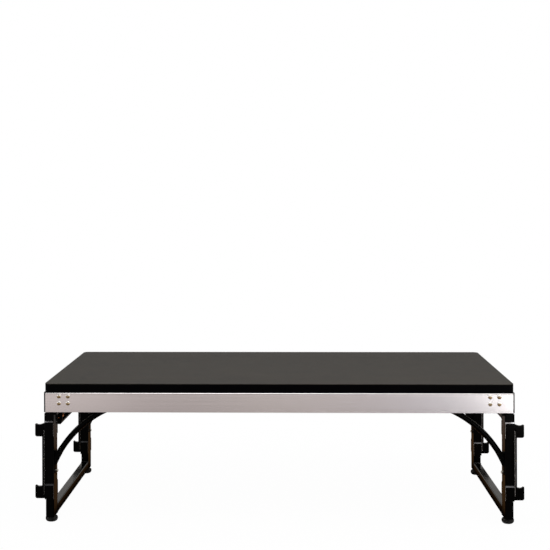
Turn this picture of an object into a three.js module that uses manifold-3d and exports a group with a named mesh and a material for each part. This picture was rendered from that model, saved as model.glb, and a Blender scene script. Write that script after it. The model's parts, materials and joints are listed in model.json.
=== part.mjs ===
// Stage riser platform: a 2 m x 1 m deck, 0.606 m high, on two folding leg frames.
// Millimetres, +Z up, +X along the deck, the front faces -Y.
// Origin: the middle of the footprint, on the floor.
import * as THREE from 'three';
import { mergeVertices } from 'three/addons/utils/BufferGeometryUtils.js';
import Module from 'manifold-3d';

const wasm = await Module();
wasm.setup();

// ------------------------------------------------------------------ shared dimensions
const LIFT = 6;                      // heights are measured from a datum this far above the floor
const GAP = 0.3;                     // clearance between neighbouring parts

// deck: length and depth over the edge band, top height
const DECK_L = 2006, DECK_D = 1000, DECK_H = 600;
const HALF_D = DECK_D / 2;           // outer face of the long rails
const BOARD_T = 36;                  // board with its covering
const COVER_T = 2.5, TRIM_T = 3;     // covering, edge band
const CORNER_R = 24;                 // plan radius of the deck corners

// perimeter frame
const RAIL_Z0 = 477, RAIL_Z1 = DECK_H - BOARD_T;
const RAIL_WEB = 4, SIDE_WEB = 5;    // web thicknesses
const FLANGE_T = 3, FLANGE_W = 34;   // flange thickness, width of the long rails' top flange
const UNDER_FLANGE = RAIL_Z1 - FLANGE_T - GAP;
const SIDE_X = 999.5;                // inner face of the side rails' webs

// leg hinge axis, parallel to Y, and the radius round it
const HINGE_X = 970, HINGE_Z = 484, HINGE_R = 13;

// posts
const POST_X0 = 967, POST_X1 = 1003, POST_MID_X = (POST_X0 + POST_X1) / 2;
const POST_Y0 = 397, POST_Y1 = 477;
const POST_Z0 = 18, POST_TOP = 469.5;
const MID_Y = (POST_Y0 + POST_Y1) / 2;       // the posts' and arches' middle plane

// arch brace: centre and radius of its centre line, tube radius
const ARCH_X = 552, ARCH_Z = 59.5, ARCH_R = 461;
const TUBE_R = 12.5;
const PIVOT_X = 950, PIVOT_Z = archHeight(PIVOT_X, ARCH_R);      // lower end, at the post
const SLIDE_Z = 509.5;                                           // upper end, in the track
const SLIDE_X = ARCH_X + Math.sqrt(ARCH_R ** 2 - (SLIDE_Z - ARCH_Z) ** 2);

// rivets through the long rails and hinge brackets, as [x, z]
const RIVET_SPOTS = [[901.5, 515.5], [901.5, 545.5], [940, 515.5], [940, 545.5]];

const WRAP = 9;                              // how far the hook bar reaches past the post in Y
const LOCK_X = 959, LOCK_Z = 436;            // lock handle pivot, parallel to Y
const LOCK_Y0 = 106, LOCK_Y1 = 370;          // its two arms

// height of an arc round the arch's centre, at x
function archHeight(x, radius) {
  return ARCH_Z + Math.sqrt(radius ** 2 - (x - ARCH_X) ** 2);
}

// ------------------------------------------------------------------ solids
function clean(geometry) {
  const bare = geometry.clone();
  bare.deleteAttribute('normal');
  bare.deleteAttribute('uv');
  return mergeVertices(bare, 1e-4);
}

function toSolid(geometry) {
  const welded = clean(geometry);
  return new wasm.Manifold(new wasm.Mesh({
    numProp: 3,
    vertProperties: new Float32Array(welded.attributes.position.array),
    triVerts: new Uint32Array(welded.index.array),
  }));
}

function toGeometry(solid) {
  const mesh = solid.getMesh();
  const geometry = new THREE.BufferGeometry();
  const positions = Float32Array.from(mesh.vertProperties);
  geometry.setAttribute('position', new THREE.BufferAttribute(positions, 3));
  geometry.setIndex(Array.from(mesh.triVerts));
  return geometry;
}

function join(...parts) {
  return toGeometry(parts.map(toSolid).reduce((sum, part) => sum.add(part)));
}

function cut(base, ...tools) {
  return toGeometry(tools.reduce((rest, tool) => rest.subtract(toSolid(tool)), toSolid(base)));
}

// ------------------------------------------------------------------ shapes
// Ranges are [low, high] pairs.
function box([x0, x1], [y0, y1], [z0, z1]) {
  const geometry = new THREE.BoxGeometry(x1 - x0, y1 - y0, z1 - z0);
  return geometry.translate((x0 + x1) / 2, (y0 + y1) / 2, (z0 + z1) / 2);
}

function rodX(y, z, radius, [x0, x1], segments) {
  const geometry = new THREE.CylinderGeometry(radius, radius, x1 - x0, segments);
  geometry.rotateZ(-Math.PI / 2);
  return geometry.translate((x0 + x1) / 2, y, z);
}

function rodY(x, z, radius, [y0, y1], segments) {
  const geometry = new THREE.CylinderGeometry(radius, radius, y1 - y0, segments);
  return geometry.translate(x, (y0 + y1) / 2, z);
}

const toVectors = points => points.map(([x, y]) => new THREE.Vector2(x, y));

function extrude(outline, length, hole) {
  const points = toVectors(outline);
  if (THREE.ShapeUtils.isClockWise(points)) points.reverse();
  const shape = new THREE.Shape(points);
  if (hole) shape.holes.push(new THREE.Path(toVectors(hole)));
  return new THREE.ExtrudeGeometry(shape, { depth: length, bevelEnabled: false });
}

// outline in (Y, Z), swept along X
function prismX(outline, [x0, x1]) {
  const toWorld = new THREE.Matrix4().set(0, 0, 1, x0, 1, 0, 0, 0, 0, 1, 0, 0, 0, 0, 0, 1);
  return extrude(outline, x1 - x0).applyMatrix4(toWorld);
}

// outline in (X, Z), swept along Y
function prismY(outline, [y0, y1], hole) {
  return extrude(outline, y1 - y0, hole).rotateX(Math.PI / 2).translate(0, y1, 0);
}

// outline in (X, Y), swept along Z
function prismZ(outline, [z0, z1], hole) {
  return extrude(outline, z1 - z0, hole).translate(0, 0, z0);
}

function arcPoints(centreX, centreY, radius, start, end, steps) {
  const points = [];
  for (let i = 0; i <= steps; i++) {
    const angle = start + (end - start) * i / steps;
    points.push([centreX + radius * Math.cos(angle), centreY + radius * Math.sin(angle)]);
  }
  return points;
}

function roundedRect(length, depth, radius) {
  const x = length / 2 - radius;
  const y = depth / 2 - radius;
  const quarter = Math.PI / 2;
  return [[x, y], [-x, y], [-x, -y], [x, -y]].flatMap(([centreX, centreY], i) =>
    arcPoints(centreX, centreY, radius, i * quarter, (i + 1) * quarter, 5));
}

// mirror in X and/or Y (signs of 1 or -1), keeping the faces pointing out
function flip(geometry, signX, signY) {
  const flipped = geometry.index ? geometry.clone() : clean(geometry);
  flipped.applyMatrix4(new THREE.Matrix4().makeScale(signX, signY, 1));
  if (signX * signY < 0) {
    const index = flipped.index.array;
    for (let i = 0; i < index.length; i += 3) {
      [index[i], index[i + 1]] = [index[i + 1], index[i]];
    }
  }
  return flipped;
}

// ------------------------------------------------------------------ finishes
const finish = options => new THREE.MeshStandardMaterial(options);
const deckTop = finish({ color: 0x4b4845, roughness: 0.75, metalness: 0 });
const birch = finish({ color: 0xb99a6b, roughness: 0.7, metalness: 0 });
const edgeBlack = finish({ color: 0x0d0d10, roughness: 0.5, metalness: 0 });
const aluminium = finish({ color: 0xb4adad, roughness: 0.35, metalness: 1 });
const blackSteel = finish({ color: 0x111112, roughness: 0.5, metalness: 0.6 });
const rivetSteel = finish({ color: 0x8a6a4f, roughness: 0.4, metalness: 1 });
const zinc = finish({ color: 0xc9c6bd, roughness: 0.35, metalness: 1 });
const rubber = finish({ color: 0x0c0c0c, roughness: 0.9, metalness: 0 });
const nylon = finish({ color: 0x2a2a2a, roughness: 0.6, metalness: 0 });
const copperSpring = finish({ color: 0x8a4a20, roughness: 0.4, metalness: 1 });

// ------------------------------------------------------------------ deck
// the deck's plan outline, drawn in from the edge
function deckOutline(inset, cornerRadius) {
  return roundedRect(DECK_L - 2 * inset, DECK_D - 2 * inset, cornerRadius);
}

function deckCovering() {
  return prismZ(deckOutline(0, CORNER_R), [DECK_H - COVER_T, DECK_H]);
}

function deckBoard() {
  return prismZ(deckOutline(TRIM_T + GAP, CORNER_R - TRIM_T), [RAIL_Z1, DECK_H - COVER_T]);
}

function deckEdgeTrim() {
  const hole = deckOutline(TRIM_T, CORNER_R - TRIM_T);
  return prismZ(deckOutline(0, CORNER_R), [RAIL_Z1, DECK_H - COVER_T], hole);
}

// ------------------------------------------------------------------ perimeter frame
const RIVET_HOLE_R = 4.6;

function rivetHoles(signX, rangeY) {
  return RIVET_SPOTS.map(([x, z]) => rodY(signX * x, z, RIVET_HOLE_R, rangeY, 8));
}

// web, top flange with a proud lip, short bottom flange
function frontRail() {
  const lip = 2.5;                   // how far the top lip stands proud of the web
  const bottomW = 12;
  const outer = -HALF_D;
  const inner = outer + RAIL_WEB;
  const outline = [
    [outer, RAIL_Z0], [outer + bottomW, RAIL_Z0], [outer + bottomW, RAIL_Z0 + FLANGE_T],
    [inner, RAIL_Z0 + FLANGE_T], [inner, RAIL_Z1 - FLANGE_T],
    [outer + FLANGE_W, RAIL_Z1 - FLANGE_T], [outer + FLANGE_W, RAIL_Z1],
    [outer - lip, RAIL_Z1], [outer - lip, RAIL_Z1 - FLANGE_T], [outer, RAIL_Z1 - 5],
  ];
  const holes = [-1, 1].flatMap(signX => rivetHoles(signX, [outer - 6, outer + 8]));
  return cut(prismX(outline, [-SIDE_X + GAP, SIDE_X - GAP]), ...holes);
}

function rightSideRail() {
  const topW = 25, bottomW = 10, overlap = 1;
  const flangeEnd = HALF_D - FLANGE_W - 0.5;
  const rangeY = [-flangeEnd, flangeEnd];
  return join(
    box([SIDE_X, SIDE_X + SIDE_WEB], [-HALF_D, HALF_D], [RAIL_Z0, RAIL_Z1]),
    box([SIDE_X - topW, SIDE_X + overlap], rangeY, [RAIL_Z1 - FLANGE_T, RAIL_Z1]),
    box([SIDE_X - bottomW, SIDE_X + overlap], rangeY, [RAIL_Z0, RAIL_Z0 + FLANGE_T]));
}

// square tube across the depth, open at both ends
function crossJoist(x) {
  const halfW = 20, bottom = 521, wall = 2.5;
  const outline = inset => [
    [x - halfW + inset, bottom + inset], [x + halfW - inset, bottom + inset],
    [x + halfW - inset, UNDER_FLANGE - inset], [x - halfW + inset, UNDER_FLANGE - inset],
  ];
  const end = HALF_D - RAIL_WEB - GAP;
  return prismY(outline(0), [-end, end], outline(wall));
}

// ------------------------------------------------------------------ corners, drawn for front right
const BRACKET_Y = -HALF_D + RAIL_WEB + GAP;  // just inside the front rail's web

// five-sided plate under the rails' top flanges
function cornerGusset() {
  const reach = 70, bottom = 556.6;
  return prismZ([
    [SIDE_X - GAP, BRACKET_Y], [SIDE_X - GAP, -HALF_D + reach], [SIDE_X - 12, -HALF_D + reach],
    [SIDE_X - reach, -HALF_D + 16], [SIDE_X - reach, BRACKET_Y],
  ], [bottom, UNDER_FLANGE]);
}

// riveting flange, top plate and two cheeks round the hinge axis
function hingeBracket() {
  const rangeX = [885, 988];
  const cheek = [
    ...arcPoints(HINGE_X, HINGE_Z, HINGE_R, Math.PI, 2 * Math.PI, 8),
    [HINGE_X + HINGE_R, HINGE_Z + 16], [rangeX[1], HINGE_Z + 40], [rangeX[1], 554],
    [932, 554], [932, HINGE_Z + 45], [HINGE_X - HINGE_R, HINGE_Z + 16],
  ];
  const body = join(
    box(rangeX, [BRACKET_Y, -HALF_D + RAIL_WEB + 4], [481.5, 555]),
    box(rangeX, [BRACKET_Y, -POST_Y0 + 2], [552, 556]),
    prismY(cheek, [-MID_Y - 28, -MID_Y - 24.5]),
    prismY(cheek, [-MID_Y + 38.5, -MID_Y + 42]));
  return cut(body,
    rodY(HINGE_X, HINGE_Z, 8.6, [-MID_Y - 40, -MID_Y + 60], 14),
    ...rivetHoles(1, [-HALF_D, -HALF_D + 12]));
}

// four domed rivets on one backing plate
function rivetSet() {
  const headR = 9, headH = 4, shankR = 4;
  const profile = [[0, 0]];          // [radius, height], underside centre to crown
  for (let i = 3; i >= 0; i--) {
    const angle = (Math.PI / 2) * i / 3;
    profile.push([headR * Math.sin(angle), headH * Math.cos(angle)]);
  }
  const parts = [box([889, 952.5], [-HALF_D + 8.4, -HALF_D + 10.9], [505, 551])];
  for (const [x, z] of RIVET_SPOTS) {
    const head = new THREE.LatheGeometry(toVectors(profile), 12);
    head.rotateX(Math.PI);           // the dome points to -Y
    head.translate(x, -HALF_D - 0.2, z);
    parts.push(rodY(x, z, shankR, [-HALF_D - 1, -HALF_D + 9.5], 8), head);
  }
  return join(...parts);
}

// brace track section, a hanger web with a C channel: [Y from the arch's plane, Z]
const TRACK_OUTLINE = [
  [-28, 499.5], [-15, 499.5], [-15, 504.5], [-17, 504.5], [-17, 502], [-25.5, 502],
  [-25.5, 517], [-17, 517], [-17, 514.5], [-15, 514.5], [-15, 519.5], [-25.5, 519.5],
  [-25.5, 560.8], [12, 560.8], [12, 563.8], [-28, 563.8],
];

function braceTrack() {
  return prismX(TRACK_OUTLINE.map(([offset, z]) => [offset - MID_Y, z]), [384, 680]);
}

// ------------------------------------------------------------------ leg frame, drawn for the right
// Two posts joined by two cross rails, all hollow, with hinge ears and lock handle lugs.
function legFrame() {
  const wall = 2.5, endWall = 4;
  const topRailZ0 = 433, lowRailZ1 = 59;
  const stopTop = RAIL_Z0 - 0.5;
  const rangeX = [POST_X0, POST_X1];
  const boreX = [POST_X0 + wall, POST_X1 - wall];
  const solids = [];
  const cavities = [];
  for (const side of [-1, 1]) {
    const mirrored = (y0, y1) => (side < 0 ? [-y1, -y0] : [y0, y1]);
    const postY = mirrored(POST_Y0, POST_Y1);
    const earY = mirrored(MID_Y - 38, MID_Y + 24);
    const pinY = mirrored(MID_Y - 45, MID_Y + 31);
    solids.push(
      box(rangeX, postY, [POST_Z0, POST_TOP]),
      box([986, POST_X1], postY, [POST_TOP - 5, stopTop]),   // stop under the side rail
      box([HINGE_X - HINGE_R, HINGE_X + HINGE_R], earY, [POST_TOP - 9, HINGE_Z]),
      rodY(HINGE_X, HINGE_Z, HINGE_R, earY, 18),
      rodY(HINGE_X, HINGE_Z, 8, pinY, 14));
    const footHole = new THREE.CylinderGeometry(9, 9, 20, 12);
    footHole.rotateX(Math.PI / 2);
    footHole.translate(POST_MID_X, side * MID_Y, POST_Z0);
    const boreY = mirrored(POST_Y0 + wall, POST_Y1 - wall);
    cavities.push(box(boreX, boreY, [POST_Z0 + endWall, POST_TOP - endWall]), footHole);
  }

  const railY = [-POST_Y0 - 1, POST_Y0 + 1];
  solids.push(
    box(rangeX, railY, [topRailZ0, POST_TOP]),
    box(rangeX, railY, [POST_Z0, lowRailZ1]));
  const railBoreY = [-POST_Y0 - wall - 2, POST_Y0 + wall + 2];
  cavities.push(
    box(boreX, railBoreY, [topRailZ0 + wall, POST_TOP - endWall]),
    box(boreX, railBoreY, [POST_Z0 + endWall, lowRailZ1 - wall]));

  // lugs and pins that carry the lock handle
  for (const [lugY, pinY] of [
    [[LOCK_Y0 + 3.5, LOCK_Y0 + 7.5], [LOCK_Y0 - 5, LOCK_Y0 + 7.5]],
    [[LOCK_Y1 - 7.5, LOCK_Y1 - 3.5], [LOCK_Y1 - 7.5, LOCK_Y1 + 5]],
  ]) {
    solids.push(
      box([LOCK_X - 7, POST_X0 + 1], lugY, [LOCK_Z - 2.5, LOCK_Z + 12]),
      rodY(LOCK_X, LOCK_Z, 3.5, pinY, 10),
      rodY(LOCK_X, LOCK_Z, 7, lugY, 14));
  }
  return cut(join(...solids), join(...cavities));
}

// ------------------------------------------------------------------ hook bar, drawn for front right
const HOOK_X = 1052, STRIP_X = 1016.5;       // hook tip, outer face of the strip
const HOOK_Y = [-460, -444];                 // the hooks' thickness

// top: top of the raised outer lip; dip: how far the seat lies below it
// fillet: plate between strip and hook, [X from the strip's face, Z from filletZ]
const HOOKS = [
  { bottom: 364.3, top: 419, dip: 3, filletZ: 364.3,
    fillet: [[-1, 1], [7, 1], [2.5, -2.5], [0, -9], [-1, -9]] },
  { bottom: 96.8, top: 153.3, dip: 4.5, filletZ: 153.3,
    fillet: [[-1, -2], [6, -2], [2, 2], [0, 9], [-1, 9]] },
];

// bottom, top on the post's front face, top on its rear face
const WRAPS = [[366, 437.7, 431], [99, 165.5, 165.5]];

// one J hook, standing out from the post face at innerX
function hookOutline({ bottom, top, dip }, innerX) {
  const bendR = 9;
  return [
    [innerX, bottom],
    ...arcPoints(HOOK_X - bendR, bottom + bendR, bendR, -Math.PI / 2, 0, 5),
    [HOOK_X, top - 2], [HOOK_X - 1.5, top], [HOOK_X - 5.5, top],
    [HOOK_X - 8.5, top - dip * 0.6], [HOOK_X - 12, top - dip], [HOOK_X - 21, top - dip],
    [HOOK_X - 26, top - dip + 1.2], [STRIP_X + 1, top - dip + 4.5],
    [STRIP_X - 6, top + 4], [innerX, top + 6],
  ];
}

// wrap section on a post face, bevelled along the top; outward is the sign of Y off the face
function wrapOutline(faceY, outward, bottom, top) {
  return [
    [faceY + outward * WRAP, bottom], [faceY + outward * GAP, bottom],
    [faceY + outward * GAP, top], [faceY + outward * 1.5, top],
    [faceY + outward * WRAP, top - 7.5],
  ];
}

// two outward J hooks on a strip that wraps the post at both
function hookBar() {
  const innerX = POST_X1 + GAP;
  const frontY = -POST_Y1, rearY = -POST_Y0;
  const parts = [];
  for (const hook of HOOKS) {
    const fillet = hook.fillet.map(([x, z]) => [STRIP_X + x, hook.filletZ + z]);
    parts.push(prismY(hookOutline(hook, innerX), HOOK_Y), prismY(fillet, HOOK_Y));
  }
  for (const [bottom, frontTop, rearTop] of WRAPS) {
    parts.push(
      prismX(wrapOutline(frontY, -1, bottom, frontTop), [POST_X0, innerX + 1]),
      prismX(wrapOutline(rearY, 1, bottom, rearTop), [POST_X0, innerX + 1]));
  }
  // the strip laps the post's two outer corners with a bevelled lip
  const lipX = POST_X1 - 2.5, bevelX = 1008;
  parts.push(prismZ([
    [STRIP_X, frontY - WRAP], [STRIP_X, rearY + WRAP], [bevelX, rearY + WRAP],
    [lipX, rearY + 1.5], [lipX, rearY + GAP], [innerX, rearY + GAP],
    [innerX, frontY - GAP], [lipX, frontY - GAP], [lipX, frontY - 1.5],
    [bevelX, frontY - WRAP],
  ], [120, 400]));
  // a tab runs on up the post's outer face
  parts.push(box([innerX, innerX + 5], [frontY, rearY], [399, 468]));
  return join(...parts);
}

function hookBarScrew() {
  const faceY = -POST_Y1 - WRAP;
  return rodY(1012, 272, 4.4, [faceY - 3.5, faceY - GAP], 6);
}

// ------------------------------------------------------------------ brace, drawn for the right
// plate on the post's inner face, with two curved arms that carry the arch's pivot pin
function braceBracket() {
  const y = -MID_Y;
  const rootX = POST_X0 - 1;
  const slant = 3;                   // the lower edge is set this far towards the tip
  const stations = [rootX, 960, 954, 948, 943];
  const lowerEdge = x => [x, archHeight(x, ARCH_R - TUBE_R)];
  const arm = [
    ...stations.map(x => [x, archHeight(x, ARCH_R + TUBE_R)]),
    ...[...stations].reverse().map(x => lowerEdge(x - slant)),
    lowerEdge(rootX),
  ];
  return join(
    box([POST_X0 - 3.3, POST_X0 - GAP], [y - 19, y + 19], [203, 300]),
    prismY(arm, [y - 15.9, y - 13.2]),
    prismY(arm, [y + 13.2, y + 15.9]),
    rodY(PIVOT_X, PIVOT_Z, 5, [y - 17.5, y + 17.5], 10),
    rodY(PIVOT_X, PIVOT_Z, 8, [y - 18.4, y - 15.5], 12),
    rodY(PIVOT_X, PIVOT_Z, 8, [y + 15.5, y + 18.4], 12));
}

function braceBracketBolt() {
  return rodX(-MID_Y + 5, 212, 6.5, [POST_X0 - 9.5, POST_X0 - 3.6], 6);
}

// the arch's centre line in the XZ plane at y, from the track down to the post
class ArchCurve extends THREE.Curve {
  constructor(y) {
    super();
    this.y = y;
    this.start = Math.atan2(SLIDE_Z - ARCH_Z, SLIDE_X - ARCH_X);
    this.end = Math.atan2(PIVOT_Z - ARCH_Z, PIVOT_X - ARCH_X);
  }

  getPoint(t, target = new THREE.Vector3()) {
    const angle = this.start + (this.end - this.start) * t;
    const x = ARCH_X + ARCH_R * Math.cos(angle);
    return target.set(x, this.y, ARCH_Z + ARCH_R * Math.sin(angle));
  }
}

// the two arches of one side, joined by a tie rod through their top ends
function archBrace() {
  const section = new THREE.Shape();
  section.absarc(0, 0, TUBE_R, 0, 2 * Math.PI, false);
  const parts = [];
  const bores = [];
  for (const y of [-MID_Y, MID_Y]) {
    const endY = [y - TUBE_R, y + TUBE_R];
    parts.push(
      new THREE.ExtrudeGeometry(section, {
        steps: 12,
        curveSegments: 5,
        bevelEnabled: false,
        extrudePath: new ArchCurve(y),
      }),
      rodY(PIVOT_X, PIVOT_Z, TUBE_R, endY, 14),
      rodY(SLIDE_X, SLIDE_Z, TUBE_R, endY, 14));
    bores.push(rodY(PIVOT_X, PIVOT_Z, 5.7, [y - 20, y + 20], 10));
  }
  parts.push(rodY(SLIDE_X, SLIDE_Z, 8, [-MID_Y, MID_Y], 10));
  return cut(join(...parts), ...bores);
}

// block in the track's channel, with a stub towards the arch
function sliderShoe() {
  const y = -MID_Y;
  const halfL = 18, halfH = 6.9;
  return join(
    box([SLIDE_X - halfL, SLIDE_X + halfL], [y - 25.1, y - 17.4],
      [SLIDE_Z - halfH, SLIDE_Z + halfH]),
    rodY(SLIDE_X, SLIDE_Z, 4.4, [y - 18, y - 13.8], 14));
}

// ------------------------------------------------------------------ levelling foot
// [radius, height above the floor]: the pad, then the stem
const FOOT_PROFILE = [
  [0, 0], [14, 0], [19.5, 1.5], [23.5, 5], [25.8, 10], [26.5, 14], [25, 19], [20.5, 23.5],
  [8, 23.5], [8, 72], [0, 72],
];

function levellingFoot(y) {
  const profile = FOOT_PROFILE.map(([radius, height]) => [radius, height - LIFT]);
  const foot = new THREE.LatheGeometry(toVectors(profile), 20);
  return foot.rotateX(Math.PI / 2).translate(POST_MID_X, y, 0);
}

// ------------------------------------------------------------------ lock handle
const SPRING_X = 974, SPRING_Z = 418;        // axis of the spring and the rod inside it

// arm outline in (X, Z): tooth on top, pivot eye, foot with the grip bar and the strap
const LOCK_ARM = [
  [947, 486], [985, 486], [987, 482], [987, 477], [962, 475], [964, 455], [965, LOCK_Z],
  [963.5, 429], [968, 424], [987, 424], [987, 405], [982, 400.5], [959, 400.5], [954, 406],
  [950, 424], [950, LOCK_Z], [947, 455],
];

// L section in (X, Z), below and outside the spring
const LOCK_STRAP = [[960, 401], [987, 401], [987, 424], [984, 424], [984, 404], [960, 404]];

function lockHandle() {
  const arms = [LOCK_Y0, LOCK_Y1];
  const body = join(
    ...arms.map(y => prismY(LOCK_ARM, [y - 2.5, y + 2.5])),
    rodY(960, 405, 4.5, [LOCK_Y0 - 4, LOCK_Y1 + 4], 12),
    rodY(SPRING_X, SPRING_Z, 4, arms, 8),
    prismY(LOCK_STRAP, [LOCK_Y0 - 2, LOCK_Y1 + 2]));
  return cut(body, ...arms.map(y => rodY(LOCK_X, LOCK_Z, 4, [y - 8, y + 8], 10)));
}

// the coil, as a plain sleeve round its rod
function lockSpring() {
  const outerR = 8.5, innerR = 4.7, length = 115, rearY = 363;
  const ring = new THREE.Shape();
  ring.absarc(0, 0, outerR, 0, 2 * Math.PI, false);
  const hole = new THREE.Path();
  hole.absarc(0, 0, innerR, 0, 2 * Math.PI, true);
  ring.holes.push(hole);
  const sleeve = new THREE.ExtrudeGeometry(ring, {
    depth: length,
    curveSegments: 6,
    bevelEnabled: false,
  });
  return sleeve.rotateX(Math.PI / 2).translate(SPRING_X, rearY, SPRING_Z);
}

// ------------------------------------------------------------------ assembly
function add(parent, name, geometry, material) {
  const mesh = new THREE.Mesh(geometry.clone().translate(0, 0, LIFT), material);
  mesh.name = name;
  parent.add(mesh);
}

// side: the name ending; front and rear: the corner the local -Y and +Y ends become
function legAssembly(side, front, rear) {
  const leg = new THREE.Group();
  add(leg, 'leg_frame_' + side, legFrame(), blackSteel);
  const bar = hookBar();
  const screw = hookBarScrew();
  const bracket = braceBracket();
  const bolt = braceBracketBolt();
  const shoe = sliderShoe();
  for (const [corner, signY] of [[front, 1], [rear, -1]]) {
    add(leg, 'hook_bar_' + corner, flip(bar, 1, signY), blackSteel);
    add(leg, 'hook_bar_screw_' + corner, flip(screw, 1, signY), zinc);
    add(leg, 'brace_bracket_' + corner, flip(bracket, 1, signY), blackSteel);
    add(leg, 'brace_bracket_bolt_' + corner, flip(bolt, 1, signY), zinc);
    add(leg, 'levelling_foot_' + corner, levellingFoot(-signY * MID_Y), rubber);
    add(leg, 'slider_shoe_' + corner, flip(shoe, 1, signY), nylon);
  }
  add(leg, 'arch_brace_' + side, archBrace(), blackSteel);
  add(leg, 'lock_handle_' + side, lockHandle(), blackSteel);
  add(leg, 'lock_spring_' + side, lockSpring(), copperSpring);
  return leg;
}

const riser = new THREE.Group();
riser.name = 'stage_riser';
add(riser, 'deck_covering', deckCovering(), deckTop);
add(riser, 'deck_board', deckBoard(), birch);
add(riser, 'deck_edge_trim', deckEdgeTrim(), edgeBlack);

const longRail = frontRail();
add(riser, 'front_rail', longRail, aluminium);
add(riser, 'rear_rail', flip(longRail, 1, -1), aluminium);
const sideRail = rightSideRail();
add(riser, 'right_side_rail', sideRail, blackSteel);
add(riser, 'left_side_rail', flip(sideRail, -1, 1), blackSteel);
for (const [place, x] of [['left', -345], ['centre', 0], ['right', 345]]) {
  add(riser, 'cross_joist_' + place, crossJoist(x), blackSteel);
}

const cornerPieces = [
  ['corner_gusset_', cornerGusset(), blackSteel],
  ['hinge_bracket_', hingeBracket(), blackSteel],
  ['rivet_set_', rivetSet(), rivetSteel],
  ['brace_track_', braceTrack(), aluminium],
];
for (const [corner, signX, signY] of [
  ['front_left', -1, 1], ['front_right', 1, 1], ['rear_left', -1, -1], ['rear_right', 1, -1],
]) {
  for (const [prefix, geometry, material] of cornerPieces) {
    add(riser, prefix + corner, flip(geometry, signX, signY), material);
  }
}

const rightLeg = legAssembly('right', 'front_right', 'rear_right');
const leftLeg = legAssembly('left', 'rear_left', 'front_left');
leftLeg.rotation.z = Math.PI;                // the same assembly, turned round
riser.add(rightLeg, leftLeg);

export default riser;
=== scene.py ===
"""Stage riser platform: a decked frame on two folding leg assemblies.

X runs along its length, the front faces -Y, +Z is up, and the origin is on the floor below the
middle. Shapes are drawn in millimetres above a datum LIFT over the floor; piece() makes metres.
"""
import json
import math

import bmesh
import bpy
from mathutils import Matrix, Vector


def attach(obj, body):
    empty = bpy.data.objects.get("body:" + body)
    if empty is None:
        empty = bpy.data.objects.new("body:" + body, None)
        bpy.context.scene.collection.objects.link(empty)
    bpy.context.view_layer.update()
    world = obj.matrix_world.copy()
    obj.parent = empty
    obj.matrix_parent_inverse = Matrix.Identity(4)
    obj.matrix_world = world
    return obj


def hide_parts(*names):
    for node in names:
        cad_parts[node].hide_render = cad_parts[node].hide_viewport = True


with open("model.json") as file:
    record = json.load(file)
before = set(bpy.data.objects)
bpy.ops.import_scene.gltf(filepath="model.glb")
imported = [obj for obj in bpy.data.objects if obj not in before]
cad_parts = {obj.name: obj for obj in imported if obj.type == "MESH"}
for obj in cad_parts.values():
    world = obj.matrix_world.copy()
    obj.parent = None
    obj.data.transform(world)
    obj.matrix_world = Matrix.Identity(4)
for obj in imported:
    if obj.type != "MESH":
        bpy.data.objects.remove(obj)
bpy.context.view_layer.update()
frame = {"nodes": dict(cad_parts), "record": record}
BODY = {
    member: body
    for body, members in frame["record"]["behaviour"]["bodies"].items()
    for member in members
}

# ---------------------------------------------------------------- main dimensions, in millimetres
LIFT = 6.0                                  # datum above the floor
GAP = 0.3                                   # clearance between neighbouring pieces
SLIP = 0.02                                 # keeps joined faces from lying flush

DECK_LENGTH, DECK_DEPTH, DECK_TOP = 2006.0, 1000.0, 600.0
BOARD_T, COVER_T, TRIM_T, CORNER_R = 36.0, 2.5, 3.0, 24.0

FRAME_LOW, FRAME_TOP = 477.0, DECK_TOP - BOARD_T
WEB_Y, WEB_T = DECK_DEPTH / 2, 4.0          # front and rear rails: outer face and thickness
FLANGE_T = 3.0
SIDE_X = 999.5                              # inner face of a side rail
WEB_IN = WEB_Y - WEB_T - GAP                # how far pieces reach towards the web
FLANGE_UNDER = FRAME_TOP - FLANGE_T - GAP   # how high pieces reach below the flange

HINGE_X, HINGE_Z = 970.0, 484.0
POST_X0, POST_X1, POST_Y0, POST_Y1 = 967.0, 1003.0, 397.0, 477.0
LEG_X, LEG_Y = (POST_X0 + POST_X1) / 2, (POST_Y0 + POST_Y1) / 2

ARCH_X, ARCH_Z, ARCH_R, TUBE_R = 552.0, 59.5, 461.0, 12.5


def arch_height(x, offset=0.0):
    """Height of the arch brace at x, on a curve offset outwards from its centre line."""
    return ARCH_Z + math.sqrt((ARCH_R + offset) ** 2 - (x - ARCH_X) ** 2)


PIVOT_X = 950.0                             # the arch's end on the leg
PIVOT_Z = arch_height(PIVOT_X)
SLIDE_Z = 509.5                             # the arch's end in the track
SLIDE_X = ARCH_X + math.sqrt(ARCH_R ** 2 - (SLIDE_Z - ARCH_Z) ** 2)

HOOK_X, STRIP_X, WRAP = 1052.0, 1016.5, 9.0  # hook tip, strip face, reach round the post
HOOK_Y0, HOOK_Y1 = -460.0, -444.0
LOCK_X, LOCK_Z = 974.0, 418.0               # axis of the lock's rod and spring
ARM_YS = (106, 370)                         # the lock's two arms


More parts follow.
